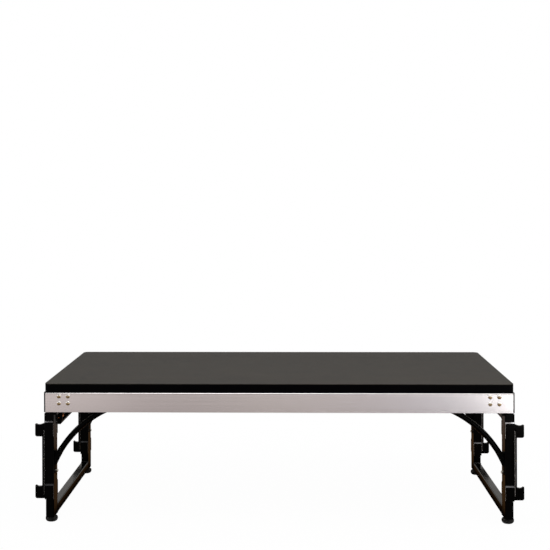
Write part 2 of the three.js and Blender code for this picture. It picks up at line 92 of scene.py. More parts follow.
# ---------------------------------------------------------------- outlines
def fillet(points, radius, steps=3):
    """The outline with its corners rounded. radius is one value, or one per corner."""
    out = []
    for i, point in enumerate(points):
        wanted = radius[i] if isinstance(radius, (list, tuple)) else radius
        corner = Vector(point)
        back = Vector(points[i - 1]) - corner
        ahead = Vector(points[(i + 1) % len(points)]) - corner
        back_len, ahead_len = back.length, ahead.length
        plain = wanted <= 0 or back_len < 1e-6 or ahead_len < 1e-6
        if not plain:
            back, ahead = back / back_len, ahead / ahead_len
            angle = math.acos(max(-1.0, min(1.0, back.dot(ahead))))
            plain = abs(math.pi - angle) < 0.06 or angle < 0.05
        if plain:
            out.append((corner.x, corner.y))
            continue
        cut = min(wanted / math.tan(angle / 2), back_len * 0.46, ahead_len * 0.46)
        fitted = cut * math.tan(angle / 2)
        centre = corner + (back + ahead).normalized() * (fitted / math.sin(angle / 2))
        first, last = corner + back * cut - centre, corner + ahead * cut - centre
        start, stop = math.atan2(first.y, first.x), math.atan2(last.y, last.x)
        turn = (stop - start + math.pi) % (2 * math.pi) - math.pi
        out += arc(centre.x, centre.y, fitted, start, turn, steps)
    return out


def arc(u, v, radius, start, turn, steps):
    """Points on an arc round (u, v)."""
    angles = [start + turn * k / steps for k in range(steps + 1)]
    return [(u + radius * math.cos(a), v + radius * math.sin(a)) for a in angles]


def rounded(rows, steps=3):
    """A filleted outline from rows of (u, v, corner radius)."""
    return fillet([row[:2] for row in rows], [row[2] for row in rows], steps)


def box(u0, u1, v0, v1, radius, steps=3):
    """A filleted rectangle."""
    return fillet([(u0, v0), (u1, v0), (u1, v1), (u0, v1)], radius, steps)


def ccw(points):
    area = sum(points[i - 1][0] * p[1] - p[0] * points[i - 1][1] for i, p in enumerate(points))
    return list(points) if area > 0 else list(reversed(points))


def inset(points, depth):
    """The outline moved in by depth, with mitred corners."""
    out = []
    for i, point in enumerate(points):
        corner = Vector(point)
        before = corner - Vector(points[i - 1])
        after = Vector(points[(i + 1) % len(points)]) - corner
        if before.length < 1e-7:
            before = after
        if after.length < 1e-7:
            after = before
        before, after = before.normalized(), after.normalized()
        normal = Vector((-before.y, before.x))
        mitre = normal + Vector((-after.y, after.x))
        mitre = mitre.normalized() if mitre.length > 1e-6 else normal
        stretch = min(1.0 / max(mitre.dot(normal), 0.4), 1.9)
        out.append((corner.x + mitre.x * depth * stretch, corner.y + mitre.y * depth * stretch))
    return out


# ---------------------------------------------------------------- solids
PLACE = {
    "X": lambda u, v, w: (w, u, v),         # outline in (Y, Z)
    "Y": lambda u, v, w: (u, w, v),         # outline in (X, Z)
    "Z": lambda u, v, w: (u, v, w),         # outline in (X, Y)
}


def quarter(ease, steps):
    """(inset, distance from the end) of each ring that rounds an end edge."""
    if ease <= 0:
        return [(0.0, 0.0)]
    angles = [(math.pi / 2) * k / steps for k in range(steps + 1)]
    return [(ease * (1 - math.sin(a)), ease * (1 - math.cos(a))) for a in angles]


def ends(start, stop, start_ease, stop_ease, steps):
    """(inset, place) of each ring of a round-ended extrusion."""
    rings = [(depth, start + along) for depth, along in quarter(start_ease, steps)]
    return rings + [(depth, stop - along) for depth, along in reversed(quarter(stop_ease, steps))]


def ring(bm, outline, axis, depth, place):
    points = inset(outline, depth) if depth else outline
    return [bm.verts.new(PLACE[axis](u, v, place)) for u, v in points]


def skin(bm, loops, close=False):
    """Faces between neighbouring loops; repeated vertices make triangles."""
    count = len(loops[0])
    for i in range(len(loops) if close else len(loops) - 1):
        near, far = loops[i], loops[(i + 1) % len(loops)]
        for k in range(count):
            after = (k + 1) % count
            corners = tuple(dict.fromkeys((near[k], near[after], far[after], far[k])))
            if len(corners) >= 3:
                bm.faces.new(corners)


def outward(bm):
    bmesh.ops.recalc_face_normals(bm, faces=bm.faces)
    if bm.calc_volume(signed=True) < 0:
        bmesh.ops.reverse_faces(bm, faces=bm.faces)
    return bm


def prism(outline, axis, start, stop, ease=0.5, steps=2, end_ease=None):
    """An outline swept along an axis, its end edges rounded by ease (and end_ease)."""
    outline, bm = ccw(outline), bmesh.new()
    rings = ends(start, stop, ease, ease if end_ease is None else end_ease, steps)
    loops = [ring(bm, outline, axis, depth, place) for depth, place in rings]
    skin(bm, loops)
    bm.faces.new(list(reversed(loops[0])))
    bm.faces.new(loops[-1])
    return outward(bm)


def tube(outer, inner, axis, start, stop, ease=0.4, steps=2):
    """A hollow section open at both ends. outer and inner have the same number of points."""
    outer, inner, bm = ccw(outer), ccw(inner), bmesh.new()
    rings = ends(start, stop, ease, ease, steps)
    loops = [ring(bm, outer, axis, depth, place) for depth, place in rings]
    loops += [ring(bm, inner, axis, -depth, place) for depth, place in reversed(rings)]
    skin(bm, loops, close=True)
    return outward(bm)


def spin(profile, axis, u, v, sides=48, shape=None):
    """A turned shape from (radius, place along the axis) rows, its axis through (u, v).
    shape(row, angle, radius) bends a ring off the circle."""
    bm, loops = bmesh.new(), []
    for i, (radius, place) in enumerate(profile):
        if radius < 1e-6:
            loops.append([bm.verts.new(PLACE[axis](u, v, place))] * sides)
            continue
        loop = []
        for k in range(sides):
            angle = 2 * math.pi * k / sides
            reach = shape(i, angle, radius) if shape else radius
            point = (u + reach * math.cos(angle), v + reach * math.sin(angle), place)
            loop.append(bm.verts.new(PLACE[axis](*point)))
        loops.append(loop)
    skin(bm, loops)
    for loop in (loops[0], loops[-1]):
        if len(set(loop)) > 2:
            bm.faces.new(loop)
    return outward(bm)


def rod(axis, u, v, radius, start, stop, ease, sides=40):
    rings = ends(start, stop, ease, ease, 3)
    profile = [(0, start)] + [(radius - depth, place) for depth, place in rings] + [(0, stop)]
    return spin(profile, axis, u, v, sides)


def sweep(centres, radius, sides, closed=False):
    """A round bar along a list of points. radius is a value or a function of the index."""
    bm, loops, count = bmesh.new(), [], len(centres)
    up = None
    for i, centre in enumerate(centres):
        after = centres[(i + 1) % count] if closed else centres[min(i + 1, count - 1)]
        before = centres[i - 1] if closed else centres[max(i - 1, 0)]
        along = (Vector(after) - Vector(before)).normalized()
        if up is None:
            up = along.orthogonal().normalized()
        up = (up - along * up.dot(along)).normalized()
        side = along.cross(up)
        reach = radius(i) if callable(radius) else radius
        loop = []
        for k in range(sides):
            angle = 2 * math.pi * k / sides
            arm = up * math.cos(angle) + side * math.sin(angle)
            loop.append(bm.verts.new(Vector(centre) + arm * reach))
        loops.append(loop)
    skin(bm, loops, close=closed)
    if not closed:
        bm.faces.new(list(reversed(loops[0])))
        bm.faces.new(loops[-1])
    return outward(bm)


def to_mesh(bm, name):
    mesh = bpy.data.meshes.new(name)
    bm.to_mesh(mesh)
    return mesh


def merge(*shells):
    """Several closed shells in one mesh."""
    out = bmesh.new()
    for shell in shells:
        mesh = to_mesh(shell, "tmp")
        out.from_mesh(mesh)
        bpy.data.meshes.remove(mesh)
    return out


def is_closed(bm):
    return all(len(e.link_faces) == 2 for e in bm.edges) and len(bm.faces) > 0


def union(*shells):
    """The shells welded into one skin. If the result isn't closed, they stay side by side."""
    objs = []
    for shell in shells:
        obj = bpy.data.objects.new("tmp", to_mesh(shell, "tmp"))
        bpy.context.scene.collection.objects.link(obj)
        objs.append(obj)
    base = objs[0]
    for obj in objs[1:]:
        mod = base.modifiers.new("u", "BOOLEAN")
        mod.operation, mod.solver, mod.object = "UNION", "EXACT", obj
    depsgraph = bpy.context.evaluated_depsgraph_get()
    out = bmesh.new()
    out.from_mesh(bpy.data.meshes.new_from_object(base.evaluated_get(depsgraph)))
    bmesh.ops.remove_doubles(out, verts=out.verts, dist=1e-4)
    bmesh.ops.dissolve_degenerate(out, edges=out.edges, dist=1e-4)
    for obj in objs:
        bpy.data.objects.remove(obj)
    return out if is_closed(out) else merge(*shells)


def moved(bm, flip_x=1, flip_y=1, turn=False, shift=None):
    """A copy mirrored by factors of -1, then turned half round Z, then shifted."""
    out = bm.copy()
    matrix = Matrix.Diagonal((flip_x, flip_y, 1, 1))
    if turn:
        matrix = Matrix.Rotation(math.pi, 4, "Z") @ matrix
    if shift:
        matrix = Matrix.Translation(shift) @ matrix
    bmesh.ops.transform(out, matrix=matrix, verts=out.verts)
    if flip_x * flip_y < 0:
        bmesh.ops.reverse_faces(out, faces=out.faces)
    return out


# ---------------------------------------------------------------- shader nets
class Net:
    """A node tree built by calls: net(kind, inputs in order, props=settings, Name=input)."""

    def __init__(self, owner, output):
        owner.use_nodes = True
        self.owner, self.tree = owner, owner.node_tree
        self.tree.nodes.clear()
        self.out = self(output)

    def __call__(self, kind, *inputs, props=None, **named):
        node = self.tree.nodes.new("ShaderNode" + kind)
        for key, value in (props or {}).items():
            setattr(node, key, value)
        for i, value in enumerate(inputs):
            self.put(node.inputs[i], value)
        for key, value in named.items():
            self.put(node.inputs[key.replace("_", " ")], value)
        return node

    def put(self, socket, value):
        if hasattr(value, "is_output"):
            self.tree.links.new(value, socket)
        elif isinstance(value, (tuple, list)) and len(value) == 3 and socket.type == "RGBA":
            socket.default_value = (*value, 1)
        else:
            socket.default_value = value

    def coords(self, x=1.0, y=1.0, z=1.0):
        """Object coordinates scaled by axis."""
        source = self("TexCoord").outputs["Object"]
        return self("Mapping", source, Scale=(x, y, z)).outputs[0]

    def split(self, vector):
        return self("SeparateXYZ", vector).outputs

    def noise(self, at, scale, detail, rough):
        node = self("TexNoise", Vector=at, Scale=scale, Detail=detail, Roughness=rough)
        return node.outputs["Fac"]

    def ramp(self, fac, *stops):
        """A colour ramp of (position, colour or grey) stops."""
        node = self("ValToRGB", Fac=fac)
        elements = node.color_ramp.elements
        while len(elements) < len(stops):
            elements.new(0.5)
        for element, (place, tone) in zip(elements, stops):
            element.position = place
            element.color = (*tone, 1) if isinstance(tone, tuple) else (tone, tone, tone, 1)
        return node.outputs["Color"]

    def step(self, fac, low, high):
        """0 below low, rising to 1 at high."""
        return self.ramp(fac, (low, 0.0), (high, 1.0))

    def span(self, fac, low, high):
        """0..1 spread over low..high."""
        return self("MapRange", fac, 0.0, 1.0, low, high).outputs[0]

    def mix(self, fac, first, second):
        node = self("Mix", props={"data_type": "RGBA"})
        for i, value in ((0, fac), (6, first), (7, second)):
            self.put(node.inputs[i], value)
        return node.outputs[2]

    def math(self, operation, a, b=0.0):
        return self("Math", a, b, props={"operation": operation}).outputs[0]

    def mul(self, a, b):
        return self.math("MULTIPLY", a, b)

    def add(self, a, b):
        return self.math("ADD", a, b)

    def centred(self, value, gain=0.5):
        """value * gain + 0.5, to bring a signed value into a ramp's range."""
        return self.add(self.mul(value, gain), 0.5)

    def edge(self, radius, gain):
        """Near 1 along an outer edge, 0 on the flats."""
        bevel = self("Bevel", props={"samples": 4}, Radius=radius).outputs[0]
        normal = self("NewGeometry").outputs["Normal"]
        dot = self("VectorMath", bevel, normal, props={"operation": "DOT_PRODUCT"})
        bend = self.math("SUBTRACT", 1.0, dot.outputs["Value"])
        clamped = {"operation": "MULTIPLY", "use_clamp": True}
        return self("Math", bend, gain, props=clamped).outputs[0]

    def bump(self, height, strength, distance):
        return self("Bump", Strength=strength, Distance=distance, Height=height).outputs[0]

    def emission(self, color, strength):
        return self("Emission", Color=color, Strength=strength).outputs[0]

    def mix_shader(self, fac, first, second):
        return self("MixShader", fac, first, second).outputs[0]

    def finish(self, **inputs):
        """A Principled surface with these inputs, as the finished material."""
        self.put(self.out.inputs[0], self("BsdfPrincipled", **inputs).outputs[0])
        return self.owner


def new_material(name):
    return Net(bpy.data.materials.new(name), "OutputMaterial")


# ---------------------------------------------------------------- materials
def make_paint():
    """Glossy black powder coat: fine orange peel, faint dust, edges worn a little paler."""
    net = new_material("black_powder_coat")
    here = net.coords()
    peel = net.noise(here, scale=520, detail=2, rough=0.5)
    fine = net.noise(here, scale=1900, detail=1, rough=0.5)
    bump = net.bump(net.add(peel, net.mul(fine, 0.35)), strength=0.10, distance=0.0006)
    dust = net.noise(here, scale=7, detail=6, rough=0.62)
    patches = net.step(net.noise(here, scale=60, detail=5, rough=0.7), 0.46, 0.62)
    wear = net.mul(net.edge(radius=0.0011, gain=5.0), patches)
    dusty = net.step(dust, 0.45, 0.75)
    base = net.mix(dusty, (0.0003, 0.0003, 0.0003), (0.0010, 0.0009, 0.0008))
    base = net.mix(net.mul(wear, 0.5), base, (0.10, 0.095, 0.09))
    rough = net.add(net.span(dust, 0.13, 0.22), net.mul(wear, 0.2))
    return net.finish(Base_Color=base, Roughness=rough, Specular_IOR_Level=0.045, Normal=bump)


def make_aluminium(name, relief, darker, lighter, smooth, rough):
    """Mill-finish extrusion: long streaks along X, a few handling marks."""
    net = new_material(name)
    lines = net.noise(net.coords(1.2, 260.0, 260.0), scale=1.0, detail=6, rough=0.65)
    fine = net.noise(net.coords(6.0, 2200.0, 2200.0), scale=1.0, detail=3, rough=0.6)
    cloud = net.noise(net.coords(1.4, 5.0, 5.0), scale=1.0, detail=4, rough=0.6)
    marks = net.noise(net.coords(30.0, 160.0, 160.0), scale=1.0, detail=5, rough=0.7)
    marks = net.step(marks, 0.60, 0.72)
    base = net.mix(cloud, darker, lighter)
    base = net.mix(net.mul(net.step(lines, 0.35, 0.7), 0.16), base, (0.44, 0.42, 0.42))
    base = net.mix(net.mul(marks, 0.10), base, (0.36, 0.35, 0.35))
    gloss = net.add(net.span(lines, smooth, rough), net.mul(marks, 0.06))
    height = net.add(net.mul(lines, 0.6), net.mul(fine, 0.4))
    bump = net.bump(height, strength=relief, distance=0.0003)
    return net.finish(Base_Color=base, Metallic=1.0, Roughness=gloss, Anisotropic=0.6,
                      Anisotropic_Rotation=0.25, Normal=bump)


def make_deck():
    """Charcoal film: fine pressed grain, faint mottling, pale scuffs."""
    net = new_material("deck_non_slip_film")
    here = net.coords()
    cell = net("TexVoronoi", props={"feature": "F1"}, Vector=here, Scale=420.0, Randomness=0.35)
    cell = cell.outputs["Distance"]
    grit = net.noise(here, scale=1500, detail=2, rough=0.5)
    mottle = net.noise(here, scale=26, detail=6, rough=0.62)
    broad = net.noise(net.coords(1.0, 1.6, 1.0), scale=3.2, detail=4, rough=0.55)
    scuff = net.noise(net.coords(16.0, 60.0, 16.0), scale=1.0, detail=6, rough=0.7)
    scuff = net.step(scuff, 0.62, 0.74)
    mottled = net.step(mottle, 0.38, 0.62)
    base = net.mix(mottled, (0.0150, 0.0126, 0.0098), (0.0335, 0.0280, 0.0222))
    base = net.mix(net.step(broad, 0.35, 0.7), base, (0.0300, 0.0248, 0.0186))
    base = net.mix(net.mul(cell, 0.35), base, (0.018, 0.017, 0.016))
    base = net.mix(net.mul(scuff, 0.16), base, (0.075, 0.072, 0.067))
    height = net.add(net.mul(cell, 0.8), net.mul(grit, 0.35))
    bump = net.bump(height, strength=0.45, distance=0.0006)
    rough = net.add(net.span(mottle, 0.62, 0.74), net.mul(scuff, -0.06))
    return net.finish(Base_Color=base, Roughness=rough, Specular_IOR_Level=0.22, Normal=bump)


def make_edge():
    """Black edge band: smooth plastic with a faint grain and pale nicks along its edges."""
    net = new_material("edge_band_black_and_notch_shade")
    grain = net.noise(net.coords(8.0, 8.0, 900.0), scale=1.0, detail=4, rough=0.6)
    cloud = net.noise(net.coords(), scale=9, detail=5, rough=0.6)
    bump = net.bump(grain, strength=0.08, distance=0.0004)
    base = net.mix(cloud, (0.0003, 0.0003, 0.0006), (0.0008, 0.0008, 0.0013))
    nicks = net.step(net.noise(net.coords(), scale=70, detail=5, rough=0.7), 0.60, 0.70)
    worn = net.mul(net.mul(net.edge(radius=0.0012, gain=5.0), nicks), 0.4)
    base = net.mix(worn, base, (0.06, 0.058, 0.06))
    return net.finish(Base_Color=base, Roughness=net.span(cloud, 0.30, 0.42),
                      Specular_IOR_Level=0.02, Normal=bump)


def make_metal(name, darker, lighter, smooth, rough):
    """Plain clouded metal."""
    net = new_material(name)
    here = net.coords()
    cloud = net.noise(here, scale=90, detail=5, rough=0.6)
    fine = net.noise(here, scale=810, detail=2, rough=0.5)
    bump = net.bump(fine, strength=0.05, distance=0.0003)
    return net.finish(Base_Color=net.mix(cloud, darker, lighter), Metallic=1.0,
                      Roughness=net.span(cloud, smooth, rough), Normal=bump)


def make_painted_highlight_steel():
    """Black coat with a painted highlight of pale steel, stronger to the right, above and behind, in
    two height bands.
    """
    net = new_material("painted_highlight_steel")
    here = net.coords()
    cloud = net.noise(here, scale=60, detail=5, rough=0.65)
    fine = net.noise(net.coords(120.0, 120.0, 900.0), scale=1.0, detail=3, rough=0.6)
    bump = net.bump(fine, strength=0.10, distance=0.0003)
    x, y, z = net.split(here)
    right = net.ramp(net.centred(x), (0.3, 0.34), (0.7, 0.95))
    above = net.ramp(z, (0.20, 0.09), (0.36, 1.0))
    behind = net.ramp(net.centred(y, gain=1.0), (0.3, 1.0), (0.7, 2.2))
    highlight_amount = net.mul(net.mul(right, above), net.add(behind, 0.0))
    low_band = net.math("LESS_THAN", z, 0.1690)
    high_band = net.mul(net.math("GREATER_THAN", z, 0.20), net.math("LESS_THAN", z, 0.4412))
    highlight_amount = net.mul(highlight_amount, net.math("MAXIMUM", low_band, high_band))
    base = net.mix(net.step(cloud, 0.35, 0.6), (0.40, 0.39, 0.40), (0.66, 0.65, 0.67))
    # painted highlight: where the mask is high the black coat turns to pale steel, as if lit
    base = net.mix(highlight_amount, (0.006, 0.006, 0.006), base)
    return net.finish(Base_Color=base, Metallic=0.9, Roughness=net.span(cloud, 0.26, 0.38),
                      Normal=bump)


def make_rivet():
    """Rivet steel: tan, made pale where it faces up as a painted highlight."""
    net = new_material("rivet_steel")
    here = net.coords()
    cloud = net.noise(here, scale=90, detail=5, rough=0.6)
    fine = net.noise(here, scale=810, detail=2, rough=0.5)
    bump = net.bump(fine, strength=0.05, distance=0.0003)
    up = net.split(net("NewGeometry").outputs["Normal"])[2]
    # painted highlight: the faces turned upwards are made pale
    pale = net.step(net.centred(up), 0.52, 0.60)
    base = net.mix(cloud, (0.36, 0.25, 0.115), (0.46, 0.33, 0.17))
    base = net.mix(pale, base, (0.97, 0.94, 0.91))
    return net.finish(Base_Color=base, Metallic=1.0, Roughness=net.span(cloud, 0.24, 0.36),
                      Normal=bump)


def make_rim_highlight():
    """Painted highlight along a rim: pale metal on black, brighter on the right-hand side."""
    net = new_material("painted_rim_highlight")
    here = net.coords()
    cloud = net.noise(here, scale=40, detail=5, rough=0.65)
    right = net.ramp(net.centred(net.split(here)[0]), (0.3, 0.30), (0.7, 1.0))
    base = net.mix(net.step(cloud, 0.30, 0.60), (0.80, 0.79, 0.77), (0.98, 0.96, 0.94))
    # painted highlight: near black at the left, pale metal towards the right
    base = net.mix(right, (0.004, 0.004, 0.004), base)
    return net.finish(Base_Color=base, Metallic=0.8, Roughness=0.42)


def make_arch_highlight():
    """Painted highlight: black coat turned grey, more on the right-hand side."""
    net = new_material("painted_arch_highlight")
    here = net.coords()
    cloud = net.noise(here, scale=55, detail=5, rough=0.65)
    fine = net.noise(net.coords(400.0, 400.0, 400.0), scale=1.0, detail=3, rough=0.6)
    bump = net.bump(fine, strength=0.10, distance=0.0003)
    right = net.ramp(net.centred(net.split(here)[0]), (0.3, 0.45), (0.7, 1.0))
    base = net.mix(net.step(cloud, 0.30, 0.65), (0.050, 0.048, 0.045), (0.095, 0.092, 0.088))
    # painted highlight: near black at the left, grey towards the right
    base = net.mix(right, (0.004, 0.004, 0.004), base)
    return net.finish(Base_Color=base, Roughness=0.5, Specular_IOR_Level=0.1, Normal=bump)


def make_rubber():
    net = new_material("foot_rubber")
    here = net.coords()
    cloud = net.noise(here, scale=45, detail=6, rough=0.65)
    fine = net.noise(here, scale=900, detail=3, rough=0.6)
    bump = net.bump(fine, strength=0.25, distance=0.0005)
    base = net.mix(net.step(cloud, 0.4, 0.75), (0.0055, 0.0054, 0.0054), (0.020, 0.019, 0.018))
    return net.finish(Base_Color=base, Roughness=net.span(cloud, 0.55, 0.75),
                      Specular_IOR_Level=0.3, Normal=bump)


def make_nylon():
    net = new_material("slider_nylon")
    here = net.coords()
    cloud = net.noise(here, scale=120, detail=4, rough=0.6)
    fine = net.noise(here, scale=1400, detail=2, rough=0.5)
    bump = net.bump(fine, strength=0.12, distance=0.0004)
    base = net.mix(cloud, (0.020, 0.020, 0.021), (0.034, 0.034, 0.034))
    return net.finish(Base_Color=base, Roughness=net.span(cloud, 0.42, 0.58), Normal=bump)


def make_plywood():
    """Birch plywood: long face grain, and the plies showing on the edge."""
    net = new_material("birch_plywood")
    warp = net.noise(net.coords(1.3, 16.0, 16.0), scale=1.0, detail=4, rough=0.6)
    grain = net.noise(net.coords(9.0, 420.0, 420.0), scale=1.0, detail=5, rough=0.65)
    rings = net("TexWave", props={"wave_type": "BANDS", "bands_direction": "Y"},
                Vector=net.coords(0.5, 10.0, 1.0), Scale=1.0, Distortion=9.0, Detail=3.0)
    face = net.mix(rings.outputs["Fac"], (0.42, 0.27, 0.135), (0.56, 0.39, 0.21))
    face = net.mix(net.mul(grain, 0.5), face, (0.33, 0.20, 0.095))
    face = net.mix(net.mul(warp, 0.35), face, (0.62, 0.45, 0.27))
    plies = net("TexWave", props={"wave_type": "BANDS", "bands_direction": "Z"},
                Vector=net.coords(), Scale=110.0, Distortion=0.3).outputs["Fac"]
    side = net.mix(net.step(plies, 0.35, 0.6), (0.20, 0.11, 0.05), (0.60, 0.43, 0.25))
    up = net.split(net("NewGeometry").outputs["Normal"])[2]
    flat = net.math("GREATER_THAN", net.math("ABSOLUTE", up), 0.6)
    bump = net.bump(grain, strength=0.15, distance=0.0004)
    return net.finish(Base_Color=net.mix(flat, side, face),
                      Roughness=net.span(grain, 0.5, 0.68), Normal=bump)


PAINT = make_paint()
RAIL = make_aluminium("rail_aluminium", relief=0.06, darker=(0.74, 0.70, 0.695),
                      lighter=(0.80, 0.77, 0.77), smooth=0.17, rough=0.25)
MILL = make_aluminium("track_aluminium", relief=0.12, darker=(0.62, 0.61, 0.61),
                      lighter=(0.72, 0.71, 0.71), smooth=0.34, rough=0.5)
DECK = make_deck()
EDGE_BAND_AND_NOTCH_SHADE = make_edge()
RIVET = make_rivet()
ZINC = make_metal("zinc_plate", darker=(0.80, 0.78, 0.70), lighter=(0.93, 0.92, 0.84),
                  smooth=0.32, rough=0.46)
DULL_ZINC = make_metal("zinc_plate_dulled", darker=(0.07, 0.058, 0.042),
                       lighter=(0.15, 0.125, 0.095), smooth=0.34, rough=0.48)
COPPER = make_metal("copper_spring", darker=(0.72, 0.27, 0.09), lighter=(0.90, 0.42, 0.18),
                    smooth=0.26, rough=0.40)
PAINTED_HIGHLIGHT = make_painted_highlight_steel()
ARCH_HIGHLIGHT = make_arch_highlight()
RIM_HIGHLIGHT = make_rim_highlight()
RUBBER = make_rubber()
NYLON = make_nylon()
PLY = make_plywood()


# ---------------------------------------------------------------- finished pieces
def piece(name, bm, mat, body, node=None, angle=32.0, patches=()):
    """A piece in metres, smooth but for edges sharper than angle, riding on its body.
    patches holds (material, test) pairs: the faces that pass a test wear that material."""
    to_metres = Matrix.Translation((0, 0, LIFT / 1000)) @ Matrix.Scale(0.001, 4)
    bmesh.ops.transform(bm, matrix=to_metres, verts=bm.verts)
    mesh = to_mesh(bm, name)
    bm.free()
    mesh.materials.append(mat)
    for k, (patch, test) in enumerate(patches):
        mesh.materials.append(patch)
        for face in mesh.polygons:
            if test(face):
                face.material_index = k + 1
    mesh.shade_smooth()
    mesh.set_sharp_from_angle(angle=math.radians(angle))
    obj = bpy.data.objects.new(name, mesh)
    bpy.context.scene.collection.objects.link(obj)
    mod = obj.modifiers.new("weighted", "WEIGHTED_NORMAL")
    mod.mode, mod.weight, mod.keep_sharp = "FACE_AREA_WITH_ANGLE", 50, True
    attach(obj, body)
    if node:
        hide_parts(node)


def stand(node, bm, mat, angle=32.0, patches=()):
    """The piece that stands in for a CAD node."""
    piece("vis_" + node, bm, mat, BODY[node], node, angle, patches)


def refine(node, mat, ease=0.4):
    """A CAD node's own shape with its sharp edges eased."""
    bm = bmesh.new()
    bm.from_mesh(frame["nodes"][node].data)
    to_drawing = Matrix.Translation((0, 0, -LIFT)) @ Matrix.Scale(1000.0, 4)
    bmesh.ops.transform(bm, matrix=to_drawing, verts=bm.verts)
    bmesh.ops.remove_doubles(bm, verts=bm.verts, dist=1e-3)
    bmesh.ops.dissolve_limit(bm, angle_limit=math.radians(0.5), use_dissolve_boundaries=False,
                             verts=bm.verts, edges=bm.edges)
    sharp = [e for e in bm.edges
             if len(e.link_faces) == 2 and e.calc_face_angle(0) > math.radians(32)]
    unbevelled = bm.copy()
    bmesh.ops.bevel(bm, geom=sharp, offset=ease, segments=2, profile=0.5, affect="EDGES",
                    clamp_overlap=True)
    bmesh.ops.remove_doubles(bm, verts=bm.verts, dist=1e-4)
    # guards against a bevel that leaves holes
    stand(node, bm if is_closed(bm) else unbevelled, mat)


# ---------------------------------------------------------------- deck
def deck_plan(margin=0, gap=0):
    """The deck's outline, less a margin all round and a gap shared by opposite sides."""
    half_length = (DECK_LENGTH - 2 * margin - gap) / 2
    half_depth = (DECK_DEPTH - 2 * margin - gap) / 2
    return box(half_length, -half_length, half_depth, -half_depth, CORNER_R - margin, 14)


BOARD_TOP = DECK_TOP - COVER_T
stand("deck_covering",
      prism(deck_plan(), "Z", BOARD_TOP, DECK_TOP, ease=0.15, steps=4, end_ease=1.6), DECK, 40)
stand("deck_board",
      prism(deck_plan(TRIM_T, gap=0.6), "Z", FRAME_TOP, BOARD_TOP, ease=0.4), PLY)
stand("deck_edge_trim",
      tube(deck_plan(), deck_plan(TRIM_T), "Z", FRAME_TOP, BOARD_TOP, ease=0.7, steps=3), EDGE_BAND_AND_NOTCH_SHADE)


# ---------------------------------------------------------------- perimeter frame
def long_rail():
    """The front rail: a web with a foot, a top flange and a notch at its upper outer corner."""
    web, low, top = -WEB_Y, FRAME_LOW, FRAME_TOP
    section = rounded([                     # y, z, corner radius
        (web, low, 0.8), (web + 12, low, 0.8),
        (web + 12, low + 3, 0.8), (web + WEB_T, low + 3, 1.6),
        (web + WEB_T, top - 7, 0.5), (web + 5.5, top - FLANGE_T, 1.2),
        (web + 34, top - FLANGE_T, 0.8), (web + 34, top, 0.8),
        (web + 2.0, top, 0.2), (web + 2.0, top - 4.0, 0.2),
        (web - 0.9, top - 4.0, 0.3), (web - 2.5, top - 5.6, 0.3),
        (web - 2.5, top - 6.2, 0.5), (web, top - 8.4, 0.7),
    ])
    return prism(section, "X", -SIDE_X + GAP, SIDE_X - GAP)


def notch_wall(face):
    """The upright wall of the notch at the top of a long rail, which takes the near-black edge band
    material as painted shade.
    """
    return (abs(face.normal.y) > 0.5
            and (FRAME_TOP - 3.9 + LIFT) / 1000 < face.center.z
            and abs(abs(face.center.y) - (WEB_Y - 2.0) / 1000) < 0.0006)


def side_rail():
    """The right side rail: a web with a top flange and a foot turned inwards."""
    flange_end = WEB_Y - 34.5
    web = box(SIDE_X, SIDE_X + 5, FRAME_LOW, FRAME_TOP, 1.0)
    flange = box(SIDE_X - 25, SIDE_X + 1, FRAME_TOP - FLANGE_T, FRAME_TOP - SLIP, 0.7)
    foot = box(SIDE_X - 10, SIDE_X + 1, FRAME_LOW + SLIP, FRAME_LOW + 3, 0.7)
    return union(
        prism(web, "Y", -WEB_Y, WEB_Y, ease=0.8),
        prism(flange, "Y", -flange_end, flange_end, ease=0.6),
        prism(foot, "Y", -flange_end, flange_end, ease=0.6))


def cross_joist(x, half=20, wall=2.5, low=521):
    outer = box(x - half, x + half, low, FLANGE_UNDER, 4.0, 5)
    inner = box(x - half + wall, x + half - wall, low + wall, FLANGE_UNDER - wall, 2.0, 5)
    return tube(outer, inner, "Y", -WEB_IN, WEB_IN)


front_rail, right_rail = long_rail(), side_rail()
# painted shade: the notch walls of the front and rear rails are coloured near black
stand("rear_rail", moved(front_rail, 1, -1), RAIL, patches=[(EDGE_BAND_AND_NOTCH_SHADE, notch_wall)])
stand("front_rail", front_rail, RAIL, patches=[(EDGE_BAND_AND_NOTCH_SHADE, notch_wall)])
stand("left_side_rail", moved(right_rail, -1, 1), PAINT)
stand("right_side_rail", right_rail, PAINT)
for name, x in (("left", -345), ("centre", 0), ("right", 345)):
    stand("cross_joist_" + name, cross_joist(x), PAINT)


# ---------------------------------------------------------------- the four corners
# Drawn for the front right; each corner's flips along X and Y follow its name.
CORNERS = [("front_left", -1, 1), ("front_right", 1, 1), ("rear_left", -1, -1),
           ("rear_right", 1, -1)]


def corner_gusset():
    plate = rounded([                       # x, y, corner radius
        (SIDE_X - GAP, -WEB_IN, 1), (SIDE_X - GAP, -WEB_Y + 70, 2),
        (SIDE_X - 12, -WEB_Y + 70, 5), (SIDE_X - 70, -WEB_Y + 16, 5),
        (SIDE_X - 70, -WEB_IN, 2),
    ], 5)
    return prism(plate, "Z", 556.6, FLANGE_UNDER, ease=0.7, steps=3)


def rivet_set():
    """A plate behind the web and four rivets through it, each a low dome with a rim."""
    plate = box(889, 952.5, 505, 551, 3.0, 4)
    parts = [prism(plate, "Y", -WEB_Y + 8.4, -WEB_Y + 10.9, ease=0.4)]
    head_r, dome_h, shank_r = 9.0, 3.5, 4.0
    profile = [(0, -WEB_Y - 4.2)]
    for k in range(1, 11):
        angle = math.pi / 2 * k / 10
        profile.append((head_r * math.sin(angle), -WEB_Y - 0.7 - dome_h * math.cos(angle)))
    profile += [(head_r, -WEB_Y - 0.35), (8.8, -WEB_Y - 0.1), (shank_r, -WEB_Y - 0.1),
                (shank_r, -WEB_Y + 9.5), (0, -WEB_Y + 9.5)]
    for x in (901.5, 940.0):
        for z in (515.5, 545.5):
            parts.append(spin(profile, "Y", x, z))
    return union(*parts)


